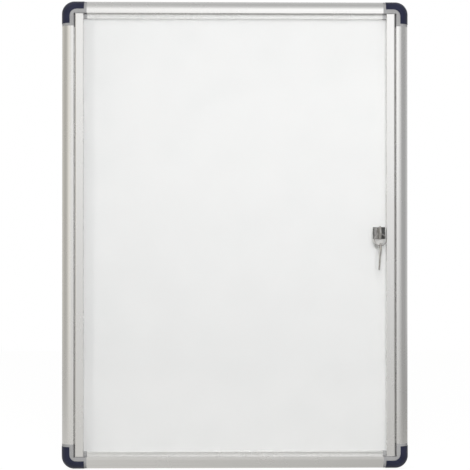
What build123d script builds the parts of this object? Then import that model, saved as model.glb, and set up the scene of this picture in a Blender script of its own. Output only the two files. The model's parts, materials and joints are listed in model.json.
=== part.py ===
from build123d import *
import os
from math import hypot, sqrt

# A shallow lockable notice case for a wall: an aluminium frame with moulded corners round a
# white steel-faced board, and a clear hinged door with a cam lock and two keys on a ring.
# It is modelled lying on its back: x to the right, y up the board, z out from the wall.
# The last step stands it up, with its back on the plane y = 0 and its front towards -y.

# Case, across the corner caps, and from the wall to the front of the frame
CASE_W = 500.0
CASE_H = 674.0
CASE_D = 35.0

# Frame profile, widths measured inwards from its outer edge
WALL = 1.4
NOSE_R = 14.0
FACE_W = 17.5
LIP_W = 23.6
GROOVE_FLOOR = 13.0
REAR_FLANGE = 1.5

# Board, in layers from the back
BACKING_T = 0.4
CORE_T = 8.0
SHEET_T = 0.6
BOARD_CLEAR = 0.2
BOARD_EDGE_CLEAR = 0.7

# Moulded corner
CORNER_R = 18.0
BASE_LEG = 36.0
SPIGOT_L = 26.0
SPIGOT_CLEAR = 0.15
POCKET_WALL = 3.0
POCKET_FLOOR = 17.0
SCREW_INSET = 10.0
SCREW_HOLE_D = 5.0
SCREW_HEAD_D = 10.0
SCREW_LAND = 1.5

# Corner cap
CAP_PROUD = 0.4
CAP_T = 2.2
CAP_BAND = 12.0
CAP_LEG = 32.5
CAP_INNER_R = 10.0
CAP_BACK = 6.0
CAP_CLEAR = 0.1
PEG_D = 3.6
PEG_L = 7.0
PEG_ALONG = 25.5
PEG_IN = 7.0

# Screws that hold a profile on its corner spigots
TIE_D = 2.9
TIE_L = 8.0
TIE_HEAD_D = 5.4
TIE_HEAD_H = 1.2
TIE_IN = 7.0
TIE_FROM_END = 13.0
TIE_CLEAR = 0.1
TIE_SLOT_W = 0.7
TIE_SLOT_L = 3.2

# Door
DOOR_RECESS = 0.4
DOOR_GAP = 1.5
SWING_CLEAR = 0.6
STILE_W = 12.5
STILE_D = 10.0
STILE_R = 2.0
STILE_EDGE_R = 0.5
STILE_WALL = 1.2
PANE_T = 3.0
PANE_BITE = 3.6
PANE_GAP = 2.4
GASKET_T = 0.6
END_GAP = 1.0
BUFFER_D = 3.6
BUFFER_UP = 250.0
BUFFER_CLEAR = 0.3

# Stile plugs and hinge pins
PLUG_L = 14.0
PLUG_CLEAR = 0.1
PLUG_FLANGE = 0.6
PIN_D = 3.0
PIN_IN_PLUG = 12.0
PIN_IN_BASE = 4.0
PIN_END_CLEAR = 0.3
PIN_RUN_CLEAR = 0.06
PIN_PRESS_CLEAR = 0.02

# Lock on the pane
LOCK_TO_STILE = 2.8
LOCK_RISE = 2.7
BLOCK_W = 17.3
BLOCK_H = 17.0
BLOCK_T = 6.0
BLOCK_EDGE_R = 0.8
PLATE_T = 2.2
PLATE_R = 7.9
PLATE_EDGE_R = 0.5
BARREL_D = 12.0
BARREL_BACK = 9.5
BARREL_CLEAR = 0.2
WASHER_T = 0.8
WASHER_D = 16.5
NUT_T = 4.0
NUT_FLATS = 15.0
PLUG_D = 9.5
PLUG_RUN_CLEAR = 0.08

# Cam and its slot in the frame
CAM_W = 8.0
CAM_T = 2.0
CAM_HUB_R = 6.5
CAM_BITE = 2.6
CAM_GAP = 0.3
CAM_SQUARE = 5.6
CAM_CLEAR = 0.1
CAM_SLOT_CLEAR = 1.6
CAM_SCREW_D = 3.0
CAM_SCREW_L = 5.0
CAM_SCREW_HEAD_D = 7.0
CAM_SCREW_HEAD_H = 1.8
CAM_SCREW_SLOT = 0.9

# Wafers in the plug
WAFER_COUNT = 4
WAFER_W = 4.0
WAFER_H = 8.4
WAFER_T = 0.8
WAFER_PITCH = 3.0
WAFER_CLEAR = 0.06

# Keys and ring
KEY_T = 2.2
BOW_R = 10.0
BOW_RIM_R = 0.4
KEY_HOLE_R = 2.25
KEY_HOLE_IN = 5.0
NECK_L = 2.0
NECK_W = 8.5
BLADE_L = 16.5
BLADE_W = 6.0
BLADE_TIP = 1.6
KEY_CLEAR = 0.2
BIT_COUNT = 4
BIT_PITCH = 3.0
BIT_DEPTH = 0.9
RING_R = 8.4
WIRE_R = 0.7
RING_GAP_DEG = 4.0
RING_CLEAR = 0.1
SPARE_LEAN = 3.0

# Places that follow from the sizes above
frame_w = CASE_W - 2 * CAP_PROUD
frame_h = CASE_H - 2 * CAP_PROUD
board_t = BACKING_T + CORE_T + SHEET_T
board_back = REAR_FLANGE + BOARD_CLEAR / 2
groove_top = REAR_FLANGE + board_t + BOARD_CLEAR

stile_front = CASE_D - DOOR_RECESS
stile_back = stile_front - STILE_D
stile_in = FACE_W + DOOR_GAP
stile_len = frame_h - 2 * (FACE_W + END_GAP)
channel_d = PANE_BITE + GASKET_T
chamber_w = STILE_W - channel_d - 2 * STILE_WALL
pane_mid = stile_front - STILE_D / 2
pane_front = pane_mid + PANE_T / 2
pane_back = pane_mid - PANE_T / 2
pane_in = stile_in + STILE_W - PANE_BITE
pane_h = frame_h - 2 * (FACE_W + PANE_GAP)

# The hinge pin stands in the middle of the stile's chamber and as far from its front face.
pivot_inset = STILE_WALL + chamber_w / 2
pivot_x = -frame_w / 2 + stile_in + pivot_inset
pivot_z = stile_front - pivot_inset

# The rebate floor lies clear of the circle that the stile's rear outer edge swings through.
rear_reach = STILE_D - pivot_inset
swing_r = hypot(pivot_inset - STILE_R, rear_reach - STILE_R) + STILE_R
rebate_z = pivot_z - swing_r - SWING_CLEAR

lock_x = frame_w / 2 - stile_in - STILE_W - LOCK_TO_STILE - BLOCK_W / 2
lock_y = LOCK_RISE
block_back = pane_front + PLATE_T
lock_front = block_back + BLOCK_T
barrel_end = pane_back - BARREL_BACK
cam_top = barrel_end - CAM_GAP
cam_back = cam_top - CAM_T
cam_throw = frame_w / 2 - LIP_W - lock_x
cam_reach = cam_throw + CAM_BITE

shoulder_z = lock_front + KEY_CLEAR
hole_z = shoulder_z + NECK_L + 2 * BOW_R - KEY_HOLE_IN
hang_drop = KEY_HOLE_R - WIRE_R - RING_CLEAR
ring_top_y = lock_y - hang_drop
ring_y = ring_top_y - RING_R
ring_low_y = ring_y - RING_R

INWARD = {
    "top": Vector(0, -1, 0),
    "bottom": Vector(0, 1, 0),
    "left": Vector(1, 0, 0),
    "right": Vector(-1, 0, 0),
}
LEVEL_SIDES = ("top", "bottom")
UP_FROM_BASE = (Align.CENTER, Align.CENTER, Align.MIN)


def on_side(side, along, inset):
    """A point on one side of the frame: so far along it, and so far in from its outer edge."""
    inward = INWARD[side]
    half = frame_h / 2 if side in LEVEL_SIDES else frame_w / 2
    run = Vector(1, 0, 0) if side in LEVEL_SIDES else Vector(0, 1, 0)
    return run * along + inward * (inset - half)


def along_side(side, outline, middle, length):
    """A bar of this outline along one side of the frame, centred at middle."""
    inward = INWARD[side]
    run = inward.cross(Vector(0, 0, 1))
    start = on_side(side, middle, 0) - run * (length / 2)
    return extrude(Plane(origin=start, x_dir=inward, z_dir=run) * outline, length)


def disc(radius, height, x, y, z):
    """An upright cylinder that stands on z."""
    return Pos(x, y, z) * Cylinder(radius, height, align=UP_FROM_BASE)


def block(width, height, depth, x, y, z):
    """A box centred on x and y that stands on z."""
    return Pos(x, y, z) * Box(width, height, depth, align=UP_FROM_BASE)


# Frame profiles
def profile_outline():
    """The extrusion's section: round nose, front face, door rebate, lip and board groove."""
    nose_mid = NOSE_R * (1 - sqrt(0.5))
    nose = ThreePointArc((0, CASE_D - NOSE_R), (nose_mid, CASE_D - nose_mid), (NOSE_R, CASE_D))
    rest = Polyline(
        (NOSE_R, CASE_D),
        (FACE_W, CASE_D),
        (FACE_W, rebate_z),
        (LIP_W, rebate_z),
        (LIP_W, groove_top),
        (GROOVE_FLOOR, groove_top),
        (GROOVE_FLOOR, REAR_FLANGE),
        (LIP_W, REAR_FLANGE),
        (LIP_W, 0),
        (0, 0),
        (0, CASE_D - NOSE_R),
    )
    return make_face([nose, rest])


def chamber_outline(inset):
    """The hollow of the extrusion, so far inside its skin. Corner spigots fill it."""
    radius = NOSE_R - inset
    bend = NOSE_R - radius * sqrt(0.5)
    nose_top = CASE_D - inset
    nose = ThreePointArc((inset, CASE_D - NOSE_R), (bend, CASE_D - bend), (NOSE_R, nose_top))
    rest = Polyline(
        (NOSE_R, nose_top),
        (FACE_W - inset, nose_top),
        (FACE_W - inset, rebate_z - inset),
        (LIP_W - inset, rebate_z - inset),
        (LIP_W - inset, groove_top + inset),
        (GROOVE_FLOOR - inset, groove_top + inset),
        (GROOVE_FLOOR - inset, inset),
        (inset, inset),
        (inset, CASE_D - NOSE_R),
    )
    return make_face([nose, rest])


def side_length(side):
    """How long a profile is between its two corners."""
    return (frame_w if side in LEVEL_SIDES else frame_h) - 2 * BASE_LEG


def tie_screw(x, y, grow):
    """A countersunk screw from behind, or the hole for it where grow is a clearance."""
    shank_r = TIE_D / 2 + grow
    shank = disc(shank_r, TIE_L + grow, x, y, 0)
    head = Cone(TIE_HEAD_D / 2 + grow, shank_r, TIE_HEAD_H + grow, align=UP_FROM_BASE)
    return shank + Pos(x, y, 0) * head


def tie_places(side):
    """Where a profile's two screws stand."""
    along = side_length(side) / 2 - TIE_FROM_END
    return [on_side(side, end * along, TIE_IN) for end in (-1, 1)]


def frame_profile(side):
    """One hollow frame extrusion with its two screw holes."""
    length = side_length(side)
    bar = along_side(side, profile_outline(), 0, length)
    bar -= along_side(side, chamber_outline(WALL), 0, length)
    for place in tie_places(side):
        bar -= tie_screw(place.X, place.Y, TIE_CLEAR)
    return bar


def cam_slot():
    """The slot in the lock side's lip that the cam swings through."""
    tip_r = hypot(cam_reach, CAM_W / 2)
    low = -sqrt(tip_r**2 - cam_throw**2) - CAM_SLOT_CLEAR
    high = CAM_W / 2 + CAM_SLOT_CLEAR
    depth = CAM_T + 2 * CAM_SLOT_CLEAR
    middle = lock_y + (low + high) / 2
    lip_x = frame_w / 2 - LIP_W
    through = 3 * WALL
    return block(through, high - low, depth, lip_x, middle, cam_back - CAM_SLOT_CLEAR)


def tie_screws():
    """All the screws behind the frame, each with a cross slot."""
    screws = []
    for side in INWARD:
        for place in tie_places(side):
            screw = tie_screw(place.X, place.Y, 0)
            for turn in (0, 90):
                slot = Box(TIE_SLOT_L, TIE_SLOT_W, 2 * TIE_SLOT_W)
                screw -= Pos(place.X, place.Y, 0) * Rot(0, 0, turn) * slot
            screws.append(screw)
    return screws


# Board
def board_layer(start, thickness):
    """One sheet of the board, held in the frame's groove."""
    edge = GROOVE_FLOOR + BOARD_EDGE_CLEAR
    return block(frame_w - 2 * edge, frame_h - 2 * edge, thickness, 0, 0, board_back + start)


# Moulded corners, made for the top left and mirrored to the others
def case_block(grow):
    """The whole case as one rounded block with every face moved out by grow."""
    plan = RectangleRounded(frame_w + 2 * grow, frame_h + 2 * grow, CORNER_R + grow)
    solid = extrude(plan, CASE_D + grow)
    front = solid.faces().sort_by(Axis.Z)[-1].edges()
    return fillet(front, NOSE_R + grow)


def corner_plan(width, leg, out=0.0, inner_r=0.0):
    """An L along the top and left edges, measured from the frame's outer corner."""
    x = -frame_w / 2
    y = frame_h / 2
    points = [
        (x - out, y + out),
        (x + leg, y + out),
        (x + leg, y - width),
        (x + width, y - width),
        (x + width, y - leg),
        (x - out, y - leg),
    ]
    plan = make_face(Polyline(*points, close=True))
    if inner_r:
        inner = plan.vertices().sort_by_distance((x + width, y - width, 0))[0]
        plan = fillet(inner, inner_r)
    return plan


def cap_space(clear):
    """The space that the cap takes up, reaching past the frame's outside, widened by clear."""
    plan = corner_plan(
        CAP_BAND - CAP_PROUD + clear,
        CAP_LEG - CAP_PROUD + clear,
        out=2 * CAP_T,
        inner_r=CAP_INNER_R - clear,
    )
    tall = extrude(plan, CASE_D + 2 * CAP_T)
    start = CAP_BACK - clear
    tall -= block(2 * BASE_LEG, 2 * BASE_LEG, start, -frame_w / 2, frame_h / 2, 0)
    return tall - case_block(CAP_PROUD - CAP_T - clear)


def peg_places():
    """Where the cap's two pegs stand, one on each leg."""
    x = -frame_w / 2
    y = frame_h / 2
    return [(x + PEG_ALONG, y - PEG_IN), (x + PEG_IN, y - PEG_ALONG)]


def corner_base(with_hinge):
    """The grey corner: frame section in both directions, spigots, screw hole and cap seat."""
    x = -frame_w / 2
    y = frame_h / 2
    steps = [
        (0, REAR_FLANGE, LIP_W),
        (REAR_FLANGE, groove_top, GROOVE_FLOOR),
        (groove_top, rebate_z, LIP_W),
        (rebate_z, CASE_D, FACE_W),
    ]
    layers = [Pos(0, 0, low) * extrude(corner_plan(w, BASE_LEG), up - low) for low, up, w in steps]
    body = layers[0] + layers[1:]
    body = body & case_block(0)
    body -= cap_space(CAP_CLEAR)

    spigot = chamber_outline(WALL + SPIGOT_CLEAR)
    body += along_side("top", spigot, x + BASE_LEG + SPIGOT_L / 2, SPIGOT_L)
    body += along_side("left", spigot, y - BASE_LEG - SPIGOT_L / 2, SPIGOT_L)
    for side in ("top", "left"):
        for place in tie_places(side):
            body -= tie_screw(place.X, place.Y, TIE_CLEAR)

    hole_x = -CASE_W / 2 + SCREW_INSET
    hole_y = CASE_H / 2 - SCREW_INSET
    land = groove_top + SCREW_LAND
    body -= disc(SCREW_HOLE_D / 2, land, hole_x, hole_y, 0)
    body -= disc(SCREW_HEAD_D / 2, CASE_D, hole_x, hole_y, land)

    pocket_from = SCREW_INSET + SCREW_HEAD_D / 2 + POCKET_WALL
    pocket_l = BASE_LEG - POCKET_WALL - pocket_from
    pocket_w = GROOVE_FLOOR - 2 * POCKET_WALL
    middle = pocket_from + pocket_l / 2
    across = POCKET_WALL + pocket_w / 2
    body -= block(pocket_l, pocket_w, POCKET_FLOOR, x + middle, y - across, 0)
    body -= block(pocket_w, pocket_l, POCKET_FLOOR, x + across, y - middle, 0)

    for peg_x, peg_y in peg_places():
        start = CASE_D - CAP_T - PEG_L - CAP_CLEAR
        body -= disc(PEG_D / 2 + CAP_CLEAR, PEG_L + CAP_T, peg_x, peg_y, start)

    if with_hinge:
        depth = PIN_IN_BASE + PIN_END_CLEAR
        bore = Cylinder(PIN_D / 2 + PIN_RUN_CLEAR, depth, align=UP_FROM_BASE)
        body -= Pos(pivot_x, y - FACE_W, pivot_z) * Rot(-90, 0, 0) * bore
    return body


def corner_cap():
    """The dark cap: a shell over the corner's outer band, with two pegs into the base."""
    shell = cap_space(0) & case_block(CAP_PROUD)
    for peg_x, peg_y in peg_places():
        start = CASE_D - CAP_T - PEG_L
        peg = disc(PEG_D / 2, PEG_L + CAP_T, peg_x, peg_y, start)
        shell += peg & case_block(0)
    return shell


# Door stiles, pane and their fittings
def stile_block():
    """The outside of a stile's section, its outer edge first."""
    middle = (stile_in + STILE_W / 2, stile_front - STILE_D / 2)
    plan = Pos(*middle) * Rectangle(STILE_W, STILE_D)
    outer = plan.vertices().sort_by(Axis.X)[:2]
    plan = fillet(outer, STILE_R)
    inner = plan.vertices().sort_by(Axis.X)[-2:]
    return fillet(inner, STILE_EDGE_R)


def stile_chamber(inset):
    """The hollow of a stile, which its end plugs fill."""
    middle = (stile_in + pivot_inset, stile_front - STILE_D / 2)
    tall = STILE_D - 2 * STILE_WALL
    return Pos(*middle) * Rectangle(chamber_w - 2 * inset, tall - 2 * inset)


def channel_outline(wall):
    """The pane's channel in a stile, or what is left of it inside a lining of this wall."""
    depth = channel_d - wall
    middle = (stile_in + STILE_W - depth / 2, pane_mid)
    return Pos(*middle) * Rectangle(depth, PANE_T + 2 * (GASKET_T - wall))


def door_stile(side):
    """One door extrusion: hollow, with a channel for the pane."""
    section = stile_block() - stile_chamber(0) - channel_outline(0)
    return along_side(side, section, 0, stile_len)


def glazing_gasket(side):
    """A soft lining in the channel that grips the pane's edge."""
    return along_side(side, channel_outline(0) - channel_outline(GASKET_T), 0, pane_h)


def stile_plug(side, end, with_pin):
    """A moulded plug in a stile's end, with a thin flange over it."""
    inner = end * (stile_len - PLUG_L) / 2
    outer = end * (stile_len + PLUG_FLANGE) / 2
    plug = along_side(side, stile_chamber(PLUG_CLEAR), inner, PLUG_L)
    plug += along_side(side, stile_block(), outer, PLUG_FLANGE)
    if with_pin:
        bore = Cylinder(PIN_D / 2 + PIN_PRESS_CLEAR, 2 * PIN_IN_PLUG)
        plug -= Pos(pivot_x, end * stile_len / 2, pivot_z) * Rot(90, 0, 0) * bore
    return plug


def hinge_pin(end):
    """A steel pin that is fixed in its plug and turns in the corner."""
    low = stile_len / 2 - PIN_IN_PLUG
    high = stile_len / 2 + END_GAP + PIN_IN_BASE
    pin = Cylinder(PIN_D / 2, high - low)
    return Pos(pivot_x, end * (low + high) / 2, pivot_z) * Rot(90, 0, 0) * pin


def door_pane():
    """The clear pane with the hole for the lock barrel."""
    width = frame_w - 2 * pane_in
    sheet = block(width, pane_h, PANE_T, 0, 0, pane_back)
    return sheet - disc(BARREL_D / 2 + BARREL_CLEAR, PANE_T, lock_x, lock_y, pane_back)


def door_buffers():
    """Two thin soft discs on the rebate floor that the lock stile closes against."""
    inset = (stile_in + LIP_W) / 2
    thick = stile_back - BUFFER_CLEAR - rebate_z
    places = [on_side("right", end * BUFFER_UP, inset) for end in (-1, 1)]
    return [disc(BUFFER_D / 2, thick, place.X, place.Y, rebate_z) for place in places]


# Lock
def lock_plate():
    """The light base plate: square above, round below, showing under the block."""
    low_y = ring_y
    high_y = lock_y + BLOCK_H / 2 - BLOCK_EDGE_R
    plan = Pos(lock_x, (low_y + high_y) / 2) * Rectangle(2 * PLATE_R, high_y - low_y)
    plan += Pos(lock_x, low_y) * Circle(PLATE_R)
    plate = Pos(0, 0, pane_front) * extrude(plan, PLATE_T)
    plate = fillet(plate.faces().sort_by(Axis.Z)[-1].edges(), PLATE_EDGE_R)
    return plate - disc(BARREL_D / 2 + BARREL_CLEAR, PLATE_T, lock_x, lock_y, pane_front)


def lock_housing():
    """The square block and the barrel behind it, in one casting with the plug's bore."""
    head = block(BLOCK_W, BLOCK_H, BLOCK_T, lock_x, lock_y, block_back)
    head = fillet(head.edges().filter_by(Axis.Z), BLOCK_EDGE_R)
    head = fillet(head.faces().sort_by(Axis.Z)[-1].edges(), BLOCK_EDGE_R)
    head += disc(BARREL_D / 2, block_back - barrel_end, lock_x, lock_y, barrel_end)
    bore = PLUG_D / 2 + PLUG_RUN_CLEAR
    return head - disc(bore, lock_front - barrel_end, lock_x, lock_y, barrel_end)


def lock_washer():
    """The washer between the pane and the nut."""
    ring = Circle(WASHER_D / 2) - Circle(BARREL_D / 2 + BARREL_CLEAR)
    return Pos(lock_x, lock_y, pane_back - WASHER_T) * extrude(ring, WASHER_T)


def lock_nut():
    """The hexagon nut that clamps the lock on the pane."""
    hexagon = RegularPolygon(NUT_FLATS / 2, 6, major_radius=False)
    ring = hexagon - Circle(BARREL_D / 2 + BARREL_CLEAR / 2)
    return Pos(lock_x, lock_y, pane_back - WASHER_T - NUT_T) * extrude(ring, NUT_T)


def wafer_starts():
    """The back of each wafer, counted from the front of the plug."""
    return [lock_front - WAFER_PITCH * (n + 1) - WAFER_T for n in range(WAFER_COUNT)]


def keyway(depth):
    """The slot that the key's blade goes into."""
    return block(
        KEY_T + 2 * KEY_CLEAR,
        BLADE_W + 2 * KEY_CLEAR,
        depth,
        lock_x,
        lock_y,
        lock_front - depth,
    )


def cam_square(grow):
    """The plug's square tail, which drives the cam."""
    side = CAM_SQUARE + 2 * grow
    return block(side, side, CAM_T, lock_x, lock_y, cam_back + CAM_CLEAR)


def lock_plug():
    """The turning plug with its keyway, wafer slots and square tail."""
    plug = disc(PLUG_D / 2, lock_front - cam_top, lock_x, lock_y, cam_top)
    plug += cam_square(0)
    plug -= keyway(BLADE_L + KEY_CLEAR)
    for start in wafer_starts():
        thick = WAFER_T + 2 * WAFER_CLEAR
        wide = WAFER_W + 2 * WAFER_CLEAR
        tall = WAFER_H + 2 * WAFER_CLEAR
        plug -= block(wide, tall, thick, lock_x, lock_y, start - WAFER_CLEAR)
    thread_r = CAM_SCREW_D / 2 + PIN_PRESS_CLEAR
    return plug - disc(thread_r, CAM_SCREW_L + CAM_CLEAR, lock_x, lock_y, cam_back)


def lock_wafers():
    """Thin brass wafers with a window for the blade."""
    wafers = []
    for start in wafer_starts():
        wafer = block(WAFER_W, WAFER_H, WAFER_T, lock_x, lock_y, start)
        wafers.append(wafer - keyway(BLADE_L + KEY_CLEAR))
    return wafers


def lock_cam():
    """The flat cam, pointing down behind the plate while the case is unlocked."""
    straight = cam_reach - CAM_W / 2
    plan = Circle(CAM_HUB_R)
    plan += Pos(0, -straight / 2) * Rectangle(CAM_W, straight)
    plan += Pos(0, -straight) * Circle(CAM_W / 2)
    side = CAM_SQUARE + 2 * CAM_CLEAR
    plan -= Rectangle(side, side)
    return Pos(lock_x, lock_y, cam_back) * extrude(plan, CAM_T)


def cam_screw():
    """The screw that holds the cam on the plug's tail, with a slotted head."""
    head_back = cam_back - CAM_SCREW_HEAD_H
    screw = disc(CAM_SCREW_HEAD_D / 2, CAM_SCREW_HEAD_H, lock_x, lock_y, head_back)
    screw += disc(CAM_SCREW_D / 2, CAM_SCREW_L, lock_x, lock_y, cam_back)
    slot = block(CAM_SCREW_HEAD_D, CAM_SCREW_SLOT, CAM_SCREW_SLOT, lock_x, lock_y, head_back)
    return screw - slot


# Keys and ring
def key_blank():
    """A flat key along +x: round bow, neck to the shoulder at x = 0, notched blade."""
    bow_x = -NECK_L - BOW_R
    bow = Pos(bow_x, 0, -KEY_T / 2) * Cylinder(BOW_R, KEY_T, align=UP_FROM_BASE)
    bow = fillet(bow.edges(), BOW_RIM_R)
    neck_from = bow_x + BOW_R / 2
    neck = Pos(neck_from / 2, 0) * Rectangle(-neck_from, NECK_W)
    half = BLADE_W / 2
    notches = []
    for n in range(BIT_COUNT):
        at = BLADE_L - BLADE_TIP - BIT_PITCH * (n + 1)
        notches += [(at + BIT_DEPTH, -half), (at, BIT_DEPTH - half), (at - BIT_DEPTH, -half)]
    tip = [(BLADE_L - BLADE_TIP, half), (BLADE_L, 0), (BLADE_L - BLADE_TIP, -half)]
    blade = make_face(Polyline((0, half), *tip, *notches, (0, -half), close=True))
    shank = extrude(neck + blade, KEY_T / 2, both=True)
    hole_x = -NECK_L - 2 * BOW_R + KEY_HOLE_IN
    return bow + shank - Pos(hole_x, 0, 0) * Cylinder(KEY_HOLE_R, 2 * KEY_T)


def door_key():
    """The key in the lock: its bow stands upright in front of the plug."""
    place = Plane(origin=(lock_x, lock_y, shoulder_z), x_dir=(0, 0, -1), z_dir=(1, 0, 0))
    return place.location * key_blank()


def spare_key():
    """The second key, which hangs on the ring with its blade down and leans a little."""
    drop = hang_drop + NECK_L + 2 * BOW_R - KEY_HOLE_IN
    hung = Plane(origin=(0, -drop, 0), x_dir=(0, -1, 0), z_dir=(1, 0, 0))
    hook = Pos(lock_x, ring_low_y, hole_z) * Rot(0, 0, -SPARE_LEAN)
    return hook * hung.location * key_blank()


def key_ring():
    """A wire ring with a narrow gap, hung in the bow of the key in the lock."""
    wire = Plane.XZ * (Pos(RING_R, 0) * Circle(WIRE_R))
    ring = revolve(wire, Axis.Z, 360 - RING_GAP_DEG)
    return Pos(lock_x, ring_y, hole_z) * ring


def mirrored(shape, across, up):
    """A copy for another corner: mirrored to the right, to the bottom, or both."""
    if across:
        shape = mirror(shape, about=Plane.YZ)
    if up:
        shape = mirror(shape, about=Plane.XZ)
    return shape


pieces = {f"frame_{side}": frame_profile(side) for side in INWARD}
pieces["frame_right"] -= cam_slot()
pieces["frame_screws"] = tie_screws()

pieces["board_backing"] = board_layer(0, BACKING_T)
pieces["board_core"] = board_layer(BACKING_T, CORE_T)
pieces["board_face"] = board_layer(BACKING_T + CORE_T, SHEET_T)

hinge_base = corner_base(True)
plain_base = corner_base(False)
cap = corner_cap()
for end, low in (("top", False), ("bottom", True)):
    pieces[f"corner_{end}_left"] = mirrored(hinge_base, False, low)
    pieces[f"corner_{end}_right"] = mirrored(plain_base, True, low)
    pieces[f"corner_cap_{end}_left"] = mirrored(cap, False, low)
    pieces[f"corner_cap_{end}_right"] = mirrored(cap, True, low)

pieces["door_buffers"] = door_buffers()
pieces["hinge_stile"] = door_stile("left")
pieces["lock_stile"] = door_stile("right")
pieces["door_pane"] = door_pane()
pieces["glazing_gasket_left"] = glazing_gasket("left")
pieces["glazing_gasket_right"] = glazing_gasket("right")
for end, way in (("top", 1), ("bottom", -1)):
    pieces[f"hinge_plug_{end}"] = stile_plug("left", way, True)
    pieces[f"hinge_pin_{end}"] = hinge_pin(way)
    pieces[f"lock_stile_plug_{end}"] = stile_plug("right", way, False)

pieces["lock_plate"] = lock_plate()
pieces["lock_housing"] = lock_housing()
pieces["lock_washer"] = lock_washer()
pieces["lock_nut"] = lock_nut()
pieces["lock_plug"] = lock_plug()
pieces["lock_wafers"] = lock_wafers()
pieces["lock_cam"] = lock_cam()
pieces["cam_screw"] = cam_screw()
pieces["door_key"] = door_key()
pieces["key_ring"] = key_ring()
pieces["spare_key"] = spare_key()

stand_up = Rot(90, 0, 0)
os.makedirs("parts", exist_ok=True)
for name, shape in pieces.items():
    if isinstance(shape, list):
        standing = Compound(children=[stand_up * solid for solid in shape])
    else:
        standing = stand_up * shape
    export_step(standing, f"parts/{name}.step")

print("rebate floor", round(rebate_z, 3), "swing radius", round(swing_r, 3))
print("hinge axis", round(pivot_x, 3), round(-pivot_z, 3))
print("lock axis", round(lock_x, 3), round(lock_y, 3), "front", round(lock_front, 3))
print("cam", round(cam_back, 3), round(cam_top, 3), "reach", round(cam_reach, 3))
print("ring top", round(ring_top_y, 3), "low", round(ring_low_y, 3), "plane", round(-hole_z, 3))
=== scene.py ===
# %% [markdown]
# # A lockable notice case
# The object is a flat wall case for notices: four silver extrusions held by moulded corners, a
# white board, and a clear door that is hinged on the left and locked on the right, with its key
# in the lock and a spare key on a ring. Every piece that carries, turns or fits is already solid
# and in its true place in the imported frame, so this lesson starts by loading that frame. It then
# sets a camera and light, shapes a few small pieces more finely, and gives each surface a finish.

# %% Load the frame
import json
import math

import bpy
import numpy as np
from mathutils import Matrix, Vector


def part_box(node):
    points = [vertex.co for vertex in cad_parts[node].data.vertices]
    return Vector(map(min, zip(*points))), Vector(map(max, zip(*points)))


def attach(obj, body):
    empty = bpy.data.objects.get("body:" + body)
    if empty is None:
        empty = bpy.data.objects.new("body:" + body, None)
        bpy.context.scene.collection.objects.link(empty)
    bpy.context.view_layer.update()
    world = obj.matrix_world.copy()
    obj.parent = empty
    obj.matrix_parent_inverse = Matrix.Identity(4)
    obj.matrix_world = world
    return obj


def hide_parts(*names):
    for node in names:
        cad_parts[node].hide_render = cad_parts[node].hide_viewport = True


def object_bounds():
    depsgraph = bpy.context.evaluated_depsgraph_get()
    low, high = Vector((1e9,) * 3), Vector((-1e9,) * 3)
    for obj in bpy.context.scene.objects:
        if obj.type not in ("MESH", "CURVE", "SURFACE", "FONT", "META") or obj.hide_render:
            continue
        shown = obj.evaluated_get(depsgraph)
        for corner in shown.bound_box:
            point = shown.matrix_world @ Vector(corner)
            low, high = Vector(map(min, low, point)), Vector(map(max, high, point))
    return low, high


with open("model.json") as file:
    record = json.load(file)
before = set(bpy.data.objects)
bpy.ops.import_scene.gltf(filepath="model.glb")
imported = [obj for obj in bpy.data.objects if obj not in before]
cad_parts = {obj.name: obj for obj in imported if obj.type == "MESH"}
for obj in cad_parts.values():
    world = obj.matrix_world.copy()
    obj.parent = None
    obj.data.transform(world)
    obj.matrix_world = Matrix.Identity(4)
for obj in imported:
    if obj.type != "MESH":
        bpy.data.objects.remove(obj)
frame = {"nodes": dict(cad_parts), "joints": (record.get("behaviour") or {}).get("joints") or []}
nodes = frame["nodes"]
cad_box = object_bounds()
MM = 0.001
print("nodes:", len(nodes), "size in mm:", [round(side / MM, 1) for side in cad_box[1] - cad_box[0]])

# %% [markdown]
# ## The camera
# The case was photographed from straight in front with a long lens, so its sides stay almost
# parallel. Its left edge is a trace taller than its right edge, which puts the camera a little to
# the left of the middle and turned a degree to the right. Distance and lens trade against each
# other in such a view: about five times the case's width away is usual for a catalogue picture.

# %% Camera
EYE = (-0.0482, -2.4, -0.012)
YAW = math.radians(1.157)
PITCH = math.radians(0.287)
LENS_MM = 126.05
SENSOR_MM = 36.0


def place_camera():
    """A camera at EYE that looks along +Y, turned to the right by YAW and up by PITCH."""
    data = bpy.data.cameras.new("front_camera")
    data.lens = LENS_MM
    data.sensor_width = SENSOR_MM
    camera = bpy.data.objects.new("front_camera", data)
    camera.location = EYE
    camera.rotation_euler = (math.pi / 2 + PITCH, 0, -YAW)
    bpy.context.scene.collection.objects.link(camera)
    bpy.context.scene.camera = camera
    return camera


print("camera:", place_camera().name, "lens", LENS_MM, "mm")

# %% [markdown]
# ## Two helpers
# Shaders are trees of nodes, and meshes are grids of points. One small function adds a node with
# its settings and its inputs in a single call. Another turns a grid that numpy has worked out
# into a mesh object: neighbours in the grid become the corners of a quad, and a direction that
# closes on itself joins its last row to its first.

# %% Node and mesh helpers
COLOUR_A, COLOUR_B, COLOUR_OUT = 6, 7, 2


def add(tree, kind, inputs=None, **settings):
    """A new shader node. An input is a plain value, or the output socket that feeds it."""
    made = tree.nodes.new("ShaderNode" + kind)
    for key, value in settings.items():
        setattr(made, key, value)
    for key, value in (inputs or {}).items():
        socket = made.inputs[key]
        if isinstance(value, bpy.types.NodeSocket):
            tree.links.new(value, socket)
        else:
            socket.default_value = value
    return made


def maths(tree, operation, *values):
    """The output of a Math node."""
    return add(tree, "Math", dict(enumerate(values)), operation=operation).outputs[0]


def ramp(tree, value, low, high, start=0.0, end=1.0):
    """A value carried smoothly from start to end as it goes from low to high."""
    span = {"Value": value, "From Min": low, "From Max": high, "To Min": start, "To Max": end}
    return add(tree, "MapRange", span, interpolation_type="SMOOTHSTEP").outputs[0]


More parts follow.
